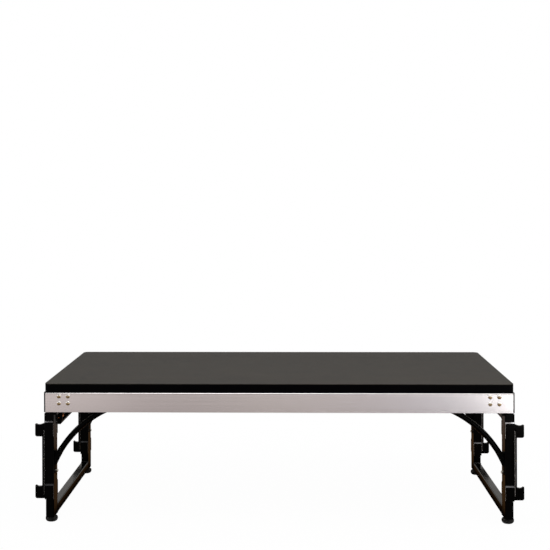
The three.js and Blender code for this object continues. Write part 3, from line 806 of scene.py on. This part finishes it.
TRACK_SECTION = [                           # y from the leg's middle, z
    (-28, 499.5), (-15, 499.5), (-15, 504.5), (-17, 504.5), (-17, 502), (-25.5, 502),
    (-25.5, 517), (-17, 517), (-17, 514.5), (-15, 514.5), (-15, 519.5), (-25.5, 519.5),
    (-25.5, 560.8), (12, 560.8), (12, 563.8), (-28, 563.8),
]
gusset, rivets = corner_gusset(), rivet_set()
track = prism(fillet([(y - LEG_Y, z) for y, z in TRACK_SECTION], 0.6), "X", 384, 680)
for name, flip_x, flip_y in CORNERS:
    stand("corner_gusset_" + name, moved(gusset, flip_x, flip_y), PAINT)
    stand("rivet_set_" + name, moved(rivets, flip_x, flip_y), RIVET)
    refine("hinge_bracket_" + name, PAINT)
for name, flip_x, flip_y in CORNERS:
    stand("brace_track_" + name, moved(track, flip_x, flip_y), MILL)


# ---------------------------------------------------------------- right leg assembly
# What comes once for each end is drawn for the front, at -LEG_Y.
def weld_loop(y, z0, z1):
    """A weld bead round a cross rail's end."""
    base = box(POST_X0, POST_X1, z0, z1, 3.0, 6)
    points = []
    for i, (x, z) in enumerate(base):
        next_x, next_z = base[(i + 1) % len(base)]
        steps = max(1, int(math.hypot(next_x - x, next_z - z) / 1.1))
        for k in range(steps):
            points.append((x + (next_x - x) * k / steps, y, z + (next_z - z) * k / steps))
    return sweep(points, lambda i: 1.7 + 0.22 * math.sin(i * 1.9), 10, closed=True)


def leg_frame():
    """Two posts with hinge ears, two cross rails and two small lugs, and the weld beads."""
    parts, ear_r, ear_low = [], 13, 458
    for side in (-1, 1):
        y0, y1 = sorted((side * POST_Y0, side * POST_Y1))
        post = box(POST_X0, POST_X1, y0, y1, 4.0, 6)
        cap = box(986, POST_X1 - 0.05, y0 + 0.05, y1 - 0.05, 2.5, 4)
        parts.append(prism(post, "Z", 18, 469.5, ease=1.6, steps=3))
        parts.append(prism(cap, "Z", 463, 476.5, ease=0.2, steps=3, end_ease=1.2))
        ear = [(HINGE_X - ear_r, ear_low), *arc(HINGE_X, HINGE_Z, ear_r, math.pi, -math.pi, 20),
               (HINGE_X + ear_r, ear_low)]
        ear_y = sorted((side * (LEG_Y - 38), side * (LEG_Y + 24)))
        pin_y = sorted((side * (LEG_Y - 45), side * (LEG_Y + 31)))
        parts.append(prism(ear, "Y", *ear_y, ease=0.9, steps=3))
        parts.append(rod("Y", HINGE_X, HINGE_Z, 8, *pin_y, ease=1.0))
    for z0, z1 in ((433, 469.4), (18.1, 59)):
        rail = box(POST_X0 + 2 * SLIP, POST_X1 - 2 * SLIP, z0, z1, 5.0, 6)
        parts.append(prism(rail, "Y", -POST_Y0 - 6, POST_Y0 + 6, ease=0, steps=1))
    lug = [(POST_X0 + 2, 431), (POST_X0 + 2, 448), (954, 448), (952, 440)]
    lug += arc(959, 436, 7, math.pi, math.pi / 2, 8)
    for y0, y1, pin0, pin1 in ((109.5, 113.5, 101, 113.5), (362.5, 366.5, 362.5, 375)):
        parts.append(prism(lug, "Y", y0, y1))
        parts.append(rod("Y", 959, 436, 3.5, pin0, pin1, ease=0.5, sides=28))
    beads = [weld_loop(side * (POST_Y0 - 0.2), z0, z1)
             for side in (-1, 1) for z0, z1 in ((18.4, 59), (433, 469.2))]
    return merge(union(*parts), *beads)


# bottom, top, dip of the seat, then the tail: root (x from the strip, z), waist, tip z
HOOKS = [
    (364.3, 419.0, 3.0, (7, 365.3), (2.5, 361.8), 355.3),
    (96.8, 153.3, 4.5, (6, 151.3), (2, 155.3), 162.3),
]
# bottom, top of the outer wrap, top of the inner wrap
WRAPS = [(366.0, 437.7, 431.0), (99.0, 165.5, 165.5)]


def hook_bar():
    """A strip on the post's outer face with two hooks, wrapped round the post at each hook."""
    y0, y1, face = -POST_Y1 - WRAP, -POST_Y0 + WRAP, POST_X1 + GAP
    parts = []
    for low, top, dip, (root_x, root_z), (waist_x, waist_z), tip_z in HOOKS:
        hook = rounded([                    # x, z, corner radius
            (face, low, 0), (HOOK_X, low, 9), (HOOK_X, top, 1.5), (HOOK_X - 5.5, top, 2.0),
            (HOOK_X - 8.5, top - dip * 0.6, 3), (HOOK_X - 12, top - dip, 4),
            (HOOK_X - 21, top - dip, 6), (HOOK_X - 26, top - dip + 1.2, 5),
            (STRIP_X + 1, top - dip + 4.5, 3), (STRIP_X - 6, top + 4, 3), (face, top + 6, 0),
        ], 5)
        parts.append(prism(hook, "Y", HOOK_Y0, HOOK_Y1, ease=1.2, steps=4))
        tail = rounded([
            (STRIP_X - 2, root_z, 0), (STRIP_X + root_x, root_z, 0),
            (STRIP_X + waist_x, waist_z, 4), (STRIP_X, tip_z, 0), (STRIP_X - 2, tip_z, 0),
        ], 5)
        parts.append(prism(tail, "Y", HOOK_Y0 + 0.03, HOOK_Y1 - 0.03, ease=1.2, steps=4))
    for low, outer_top, inner_top in WRAPS:
        for sign, free, post, top in ((1, y0, -POST_Y1, outer_top), (-1, y1, -POST_Y0, inner_top)):
            wrap = rounded([                # y, z, corner radius
                (free + sign * SLIP, low, 1.4), (post - sign * GAP, low, 0.3),
                (post - sign * GAP, top - SLIP, 0.3), (post - sign * 1.5, top - SLIP, 0.5),
                (free + sign * SLIP, top - 7.5, 0.7),
            ], 4)
            parts.append(prism(wrap, "X", POST_X0 + SLIP, face + 2, ease=0.9, steps=3, end_ease=0))
    lip = POST_X1 - 2.5
    strip = rounded([                       # x, y, corner radius
        (STRIP_X, y0 + 2 * SLIP, 1.6), (STRIP_X, y1 - 2 * SLIP, 1.6), (1008, y1 - 2 * SLIP, 1.4),
        (lip, -POST_Y0 + 1.5, 0.4), (lip, -POST_Y0 + GAP, 0.3), (face, -POST_Y0 + GAP, 0),
        (face, -POST_Y1 - GAP, 0), (lip, -POST_Y1 - GAP, 0.3), (lip, -POST_Y1 - 1.5, 0.4),
        (1008, y0 + 2 * SLIP, 1.4),
    ], 4)
    parts.append(prism(strip, "Z", 121, 399, ease=0, steps=1))
    plate = box(face + SLIP, 1008.3, -POST_Y1, -POST_Y0, [0.2, 1.5, 1.5, 0.2], 4)
    parts.append(prism(plate, "Z", 398, 468, ease=0.1, steps=3, end_ease=0.8))
    return union(*parts)


def wrap_top(face):
    """The sloping tops of the hook bar's wraps."""
    return face.normal.z > 0.6 and abs(face.normal.y) > 0.6 and face.area > 2e-5


def wrap_rim(face):
    """The eased rims of the wraps, on the side towards the platform's middle."""
    x, y, z = (abs(c) for c in face.normal)
    inward = face.normal.x * face.center.x < 0
    return 0.2 < x < 0.64 and y > 0.7 and z < 0.2 and inward and face.area > 1e-5


def arch_shoulder(face):
    """The outer shoulder of the front tube, on its front side, in the arch's upper part."""
    side = 1 if face.center.x > 0 else -1
    dx = side * face.center.x - ARCH_X / 1000
    dz = face.center.z - (ARCH_Z + LIFT) / 1000
    if not (0.385 < face.center.z < 0.466 and face.center.y < 0 and face.normal.y < -0.25):
        return False
    return (side * face.normal.x * dx + face.normal.z * dz) / math.hypot(dx, dz) > 0.70


def weld_top(face):
    """The top of the weld round the lower cross rail's ends."""
    return (abs(abs(face.center.y) - 0.3955) < 0.0035 and 0.064 < face.center.z < 0.070
            and face.normal.z > 0.25)


def hexagon(angle, flat):
    """Radius at an angle of a hexagon whose flats are this far from its centre."""
    return flat / math.cos((angle % (math.pi / 3)) - math.pi / 6)


def socket_screw():
    """Button head with a hexagon socket, its axis along Y, facing -Y."""
    seat, crown = -POST_Y1 - WRAP - 0.3, -POST_Y1 - WRAP - 3.5
    head_r, dome_h, sweep_part = 4.4, 2.8, 0.72
    profile = [(0, seat), (4.35, seat), (head_r, seat - 0.4)]
    for k in range(1, 8):
        angle = math.pi / 2 * k / 7 * sweep_part
        rise = dome_h * math.sin(angle) / math.sin(math.pi / 2 * sweep_part)
        profile.append((head_r * math.cos(angle), seat - 0.4 - rise))
    profile += [(1.55, crown), (1.4, crown + 0.25), (1.35, crown + 1.6), (0, crown + 1.75)]
    socket_rows = (len(profile) - 3, len(profile) - 2)

    def shape(row, angle, radius):
        return hexagon(angle, radius) if row in socket_rows else radius
    return spin(profile, "Y", 1012, 272, 48, shape)


def hex_bolt():
    """Hexagon head on a washer, its axis along X, facing the platform's middle."""
    crown, seat = POST_X0 - 9.5, POST_X0 - 3.6
    profile = [(0, seat), (6.4, seat), (6.5, seat - 0.4), (6.4, seat - 1.2), (5.7, seat - 1.25),
               (5.7, seat - 4.6), (5.7, seat - 5.3), (4.7, crown), (0, crown)]

    def shape(row, angle, radius):
        reach = hexagon(angle, 5.62)
        if row in (4, 5):
            return reach
        return min(reach, 5.95) if row == 6 else radius
    return spin(profile, "X", -LEG_Y + 5, 212, 72, shape)


def brace_bracket():
    """A plate on the post's inner face with two cheeks that hold the arch's end on a pin."""
    y = -LEG_Y
    plate = box(y - 19, y + 19, 203, 300, 5.0, 6)
    root = POST_X0 - 1
    stations = [root, 960, 954, 948, 943]
    cheek = [(x, arch_height(x, TUBE_R)) for x in stations]
    cheek += [(x - 3, arch_height(x - 3, -TUBE_R)) for x in reversed(stations)]
    cheek.append((root, arch_height(root, -TUBE_R)))
    cheek = fillet(cheek, [0, 0, 0, 0, 5, 5, 0, 0, 0, 0, 0], 5)
    return union(
        prism(plate, "X", POST_X0 - 3.3, POST_X0 - GAP),
        prism(cheek, "Y", y - 15.9, y - 13.2),
        prism(cheek, "Y", y + 13.2, y + 15.9),
        rod("Y", PIVOT_X, PIVOT_Z, 5, y - 17.5, y + 17.5, ease=0.5, sides=32),
        rod("Y", PIVOT_X, PIVOT_Z, 8, y - 18.4, y - 15.6, ease=0.9),
        rod("Y", PIVOT_X, PIVOT_Z, 8, y + 15.6, y + 18.4, ease=0.9))


def arch_brace():
    """Two curved tubes with round ends, joined by a rod at the track end."""
    start = math.atan2(SLIDE_Z - ARCH_Z, SLIDE_X - ARCH_X)
    stop = math.atan2(PIVOT_Z - ARCH_Z, PIVOT_X - ARCH_X)
    curve = arc(ARCH_X, ARCH_Z, ARCH_R, start, stop - start, 72)
    parts = []
    for y in (-LEG_Y, LEG_Y):
        parts.append(sweep([(x, y, z) for x, z in curve], TUBE_R, 36))
        for x, z in ((PIVOT_X, PIVOT_Z), (SLIDE_X, SLIDE_Z)):
            parts.append(rod("Y", x, z, TUBE_R, y - TUBE_R, y + TUBE_R, ease=1.2, sides=44))
    parts.append(rod("Y", SLIDE_X, SLIDE_Z, 8, -LEG_Y, LEG_Y, ease=0.5, sides=36))
    return union(*parts)


def foot_pad():
    """A round foot, flared below and domed above, its base at z = 0."""
    profile = [(0, 0.6), (11.5, 0.6), (12.2, 0.0), (14.5, 0.0)]
    for k in range(1, 11):
        angle = math.pi / 2 * k / 10
        profile.append((14.5 + 12.0 * math.sin(angle), 13.0 - 13.0 * math.cos(angle)))
    profile += [(26.5, 14.2), (26.1, 14.8), (26.1, 15.4)]
    for k in range(9):
        angle = math.pi / 2 * k / 8
        profile.append((26.3 - 6.4 * (1 - math.cos(angle)), 15.8 + 7.2 * math.sin(angle)))
    profile += [(19.0, 23.4), (18.0, 23.5), (0, 23.5)]
    return spin(profile, "Z", LEG_X, 0, 72)


def foot_stem():
    """Threaded stem above the pad."""
    root_r, crest_r, pitch = 7.0, 8.0, 1.8
    profile = [(0, 22.8), (crest_r, 22.8)]
    z = 23.6
    while z < 70:
        profile += [(root_r, z), (crest_r, z + pitch / 2), (root_r, z + pitch)]
        z += pitch
    profile += [(6.6, 71.0), (5.9, 72.0), (0, 72.0)]
    return spin(profile, "Z", LEG_X, 0, 40)


LOCK_ARM = [                                # x, z, corner radius
    (947, 486, 3), (985, 486, 2.5), (987, 482, 1), (987, 477, 1), (962, 475, 3), (964, 455, 0),
    (965, 436, 3), (963.5, 429, 2.5), (968, 424, 2), (987, 424, 2), (987, 405, 2),
    (982, 400.5, 2), (959, 400.5, 3), (954, 406, 5), (950, 424, 4), (950, 436, 3), (947, 455, 0),
]
LOCK_STRAP = [                              # x, z, corner radius
    (960, 401, 1), (987, 401, 2.5), (987, 424, 1), (984, 424, 1), (984, 404, 1.5), (960, 404, 1),
]


def lock_handle():
    """Two arms joined by a bar, a rod and an L-shaped strap."""
    arm = rounded(LOCK_ARM, 5)
    parts = [prism(arm, "Y", y - 2.5, y + 2.5, ease=0.7, steps=3) for y in ARM_YS]
    near, far = ARM_YS
    parts.append(rod("Y", 960, 405, 4.5, near - 4, far + 4, ease=1.2))
    parts.append(rod("Y", LOCK_X, LOCK_Z, 4, near, far, ease=0.4, sides=28))
    parts.append(prism(rounded(LOCK_STRAP, 4), "Y", 104.3, 371.7))
    return union(*parts)


def lock_spring():
    """A coil round the lock's rod, with its end turns closed up."""
    start, stop, turns, per_turn = 250.0, 361.0, 33, 22
    coil_r, wire_r, closed, closed_len = 6.95, 1.15, 1.5, 2.85
    points = []
    for i in range(turns * per_turn + 1):
        turn = i / (turns * per_turn) * turns
        if turn < closed:
            y = start + turn * 0.95 * 2
        elif turn > turns - closed:
            y = stop - (turns - turn) * 0.95 * 2
        else:
            open_len = stop - start - 2 * closed_len
            y = start + closed_len + open_len * (turn - closed) / (turns - 2 * closed)
        angle = 2 * math.pi * turn
        x, z = LOCK_X + coil_r * math.cos(angle), LOCK_Z + coil_r * math.sin(angle)
        points.append((x, y, z))
    return sweep(points, wire_r, 8)


def slider_shoe():
    """A block in the track with a peg into the arch's end."""
    y = -LEG_Y
    block = box(SLIDE_X - 18, SLIDE_X + 18, SLIDE_Z - 6.9, SLIDE_Z + 6.9, 2.5, 5)
    return union(prism(block, "Y", y - 25.1, y - 17.4, ease=0.7, steps=3),
                 rod("Y", SLIDE_X, SLIDE_Z, 4.4, y - 18.5, y - 13.8, ease=0.6, sides=32))


# name, shape, material, sharp-edge angle, patches
SIDE_PARTS = [
    # painted highlight on the tops of the lower cross rail's weld beads
    ("leg_frame_", leg_frame(), PAINT, 32, [(PAINTED_HIGHLIGHT, weld_top)]),
    # painted highlight along the front tube's upper shoulder
    ("arch_brace_", arch_brace(), PAINT, 32, [(ARCH_HIGHLIGHT, arch_shoulder)]),
    ("lock_handle_", lock_handle(), PAINT, 32, ()),
    ("lock_spring_", lock_spring(), COPPER, 60, ()),
]
# name, shape, material, patches
END_PARTS = [
    # painted highlights: the wrap tops take the pale steel highlight, the rims facing the middle the
    # rim highlight
    ("hook_bar_", hook_bar(), PAINT, [(PAINTED_HIGHLIGHT, wrap_top), (RIM_HIGHLIGHT, wrap_rim)]),
    ("hook_bar_screw_", socket_screw(), DULL_ZINC, ()),
    ("brace_bracket_", brace_bracket(), PAINT, ()),
    ("brace_bracket_bolt_", hex_bolt(), ZINC, ()),
    ("slider_shoe_", slider_shoe(), NYLON, ()),
]
# side, turned half round, its ends with their flips along Y before the turn
SIDES = [
    ("right", False, (("front_right", 1), ("rear_right", -1))),
    ("left", True, (("rear_left", 1), ("front_left", -1))),
]
pad, stem = foot_pad(), foot_stem()
for side, turn, side_ends in SIDES:
    for name, shape, mat, angle, patches in SIDE_PARTS:
        stand(name + side, moved(shape, turn=turn), mat, angle, patches)
    for end, flip_y in side_ends:
        for name, shape, mat, patches in END_PARTS:
            stand(name + end, moved(shape, 1, flip_y, turn), mat, patches=patches)
        to_post = (0, -flip_y * LEG_Y, -LIFT)
        foot = "levelling_foot_" + end
        stand(foot, moved(moved(pad, shift=to_post), turn=turn), RUBBER)
        end_stem = moved(moved(stem, shift=to_post), turn=turn)
        piece("foot_stem_" + end, end_stem, ZINC, BODY[foot])

for node, obj in frame["nodes"].items():    # each CAD node takes its stand-in's main material
    stand_in = bpy.data.objects.get("vis_" + node)
    if stand_in:
        obj.data.materials.clear()
        obj.data.materials.append(stand_in.data.materials[0])


# ---------------------------------------------------------------- room, in metres
def floor_material():
    """White to the camera with a faint shade near the platform, pale grey to diffuse light,
    and a painted pattern of tones in glossy reflections."""
    net = new_material("pale_floor")
    path = net("LightPath")
    x, y, _ = net.split(net("NewGeometry").outputs["Position"])
    across = net.math("POWER", net.mul(net.math("ABSOLUTE", x), 0.72), 2.0)
    along = net.math("POWER", net.math("ABSOLUTE", y), 2.0)
    reach = net.math("SQRT", net.add(across, along))
    near = net.ramp(net.mul(reach, 0.5), (0.42, 0.02), (0.85, 0.0))
    white = net.emission((1, 1, 1), 1.0)
    shade = net("BsdfDiffuse", Color=(0.86, 0.86, 0.86)).outputs[0]
    seen = net.mix_shader(near, white, shade)

    # reflections near the platform: brown close by, paler further out in front
    pale = (0.330, 0.300, 0.290)
    ahead = net.mul(y, -0.2)
    gloom = net.ramp(ahead, (0.06, (0.150, 0.074, 0.028)), (0.12, (0.150, 0.096, 0.050)),
                     (0.17, (0.070, 0.050, 0.034)), (0.27, pale))
    off_centre = net.math("ABSOLUTE", x)
    inside_legs = net.ramp(off_centre, (0.912, 1.0), (0.936, 0.0))
    gloom = net.mix(inside_legs, (0.0, 0.0, 0.0), gloom)
    aside = net.ramp(off_centre, (0.50, 1.0), (0.60, 0.0), (0.975, 0.0), (1.0, 1.0))
    behind = net.step(net.mul(y, 0.2), 0.48, 0.54)
    ray_x = net.split(net("NewGeometry").outputs["Incoming"])[0]
    seen_from_middle = net.math("LESS_THAN", net.mul(ray_x, x), 0.0)
    paled = net.math("MAXIMUM", net.math("MAXIMUM", aside, behind), seen_from_middle)
    gloom = net.mix(paled, gloom, pale)

    # reflections far out in front: tones from left to right, brightest at the right
    tones = net.ramp(
        net.centred(x, gain=0.25),
        (0.06, (0.124, 0.112, 0.110)), (0.154, (0.107, 0.097, 0.095)),
        (0.273, (0.074, 0.067, 0.066)), (0.49, (0.099, 0.091, 0.088)),
        (0.663, (0.091, 0.085, 0.086)), (0.782, (0.071, 0.068, 0.077)),
        (0.83, (0.024, 0.023, 0.032)), (0.872, (0.040, 0.040, 0.048)),
        (0.89, (0.45, 0.45, 0.45)), (1.0, (0.45, 0.45, 0.45)))
    far = net.step(ahead, 0.52, 0.60)
    mirrored = net.mix_shader(far, net.emission(gloom, 1.0), net.emission(tones, 8.0))
    unseen = net.mix_shader(path.outputs["Is Glossy Ray"], shade, mirrored)
    surface = net.mix_shader(path.outputs["Is Camera Ray"], unseen, seen)
    net.put(net.out.inputs[0], surface)
    return net.owner


def make_world():
    """White to the camera; for light, toned by height and darker low on the viewer's side."""
    world = bpy.data.worlds.new("studio")
    net = Net(world, "OutputWorld")
    path = net("LightPath")
    seen = net("Background", (1, 1, 1)).outputs[0]
    _, y, z = net.split(net("TexCoord").outputs["Generated"])
    tone = net.ramp(z, (0.05, (0.90, 0.86, 0.80)), (0.55, (0.66, 0.66, 0.66)))
    lean = net("Math", z, 1.2, y, props={"operation": "MULTIPLY_ADD"}).outputs[0]
    level = net("MapRange", lean, -0.35, 0.30, 0.42, 1.0).outputs[0]
    dimmed = net("VectorMath", tone, props={"operation": "SCALE"}, Scale=level).outputs[0]
    light = net("Background", dimmed, 1.0).outputs[0]
    net.put(net.out.inputs[0], net.mix_shader(path.outputs["Is Camera Ray"], light, seen))
    return world


def soft_box(name, at, to, size, radiance, tint=(1, 1, 1)):
    """A rectangular light at one point, aimed at another."""
    light = bpy.data.lights.new(name, "AREA")
    light.shape, (light.size, light.size_y) = "RECTANGLE", size
    light.energy = radiance * math.pi * size[0] * size[1]
    light.color = tint
    obj = bpy.data.objects.new(name, light)
    obj.location = at
    obj.rotation_euler = (Vector(to) - Vector(at)).to_track_quat("-Z", "Y").to_euler()
    scene.collection.objects.link(obj)


scene = bpy.context.scene
HALF_FLOOR = 40
floor_mesh = bpy.data.meshes.new("floor")
floor_corners = [(x * HALF_FLOOR, y * HALF_FLOOR, 0) for x, y in ((-1, -1), (1, -1), (1, 1), (-1, 1))]
floor_mesh.from_pydata(floor_corners, [], [(0, 1, 2, 3)])
floor = bpy.data.objects.new("floor", floor_mesh)
floor.location.z = -0.0004                  # just clear of the feet
scene.collection.objects.link(floor)
floor_mesh.materials.append(floor_material())
scene.world = make_world()

soft_box("overhead", at=(0.2, -1.2, 3.4), to=(0, 0, 0.4), size=(3.4, 1.6), radiance=2.4)
soft_box("key", at=(1.6, -2.6, 3.0), to=(0.3, -0.4, 0.4), size=(1.0, 0.8), radiance=8.0,
         tint=(1.0, 0.99, 0.97))
soft_box("right_low", at=(2.7, -3.3, 0.55), to=(0.95, -0.5, 0.5), size=(1.0, 0.9), radiance=0.7,
         tint=(1.0, 0.97, 1.0))
soft_box("left_side", at=(-4.2, -1.6, 1.1), to=(0, -0.3, 0.4), size=(1.6, 1.8), radiance=1.5)
soft_box("right_side", at=(4.4, -1.0, 1.2), to=(0, -0.2, 0.4), size=(1.6, 1.8), radiance=2.2)


# ---------------------------------------------------------------- camera
def add_camera(place, yaw, roll):
    """A level camera looking along +Y, turned by yaw and rolled, in radians."""
    camera = bpy.data.cameras.new("camera")
    camera.sensor_width = 36.0
    camera.lens = 77.86915855
    camera.shift_x, camera.shift_y = 0.0405405455, -0.1562309091
    camera.clip_end = 200.0
    obj = bpy.data.objects.new("camera", camera)
    forward = Vector((math.sin(yaw), math.cos(yaw), 0.0))
    level = Vector((math.cos(yaw), -math.sin(yaw), 0.0))
    upright = level.cross(forward)
    right = level * math.cos(roll) + upright * math.sin(roll)
    up = upright * math.cos(roll) - level * math.sin(roll)
    matrix = Matrix((right, up, -forward)).transposed().to_4x4()
    matrix.translation = Vector(place)
    obj.matrix_world = matrix
    scene.collection.objects.link(obj)
    scene.camera = obj


add_camera((0.0553069, -5.5791638, 1.4323823 + LIFT / 1000), yaw=-0.0314, roll=-0.0035)
scene.view_settings.view_transform = "Standard"
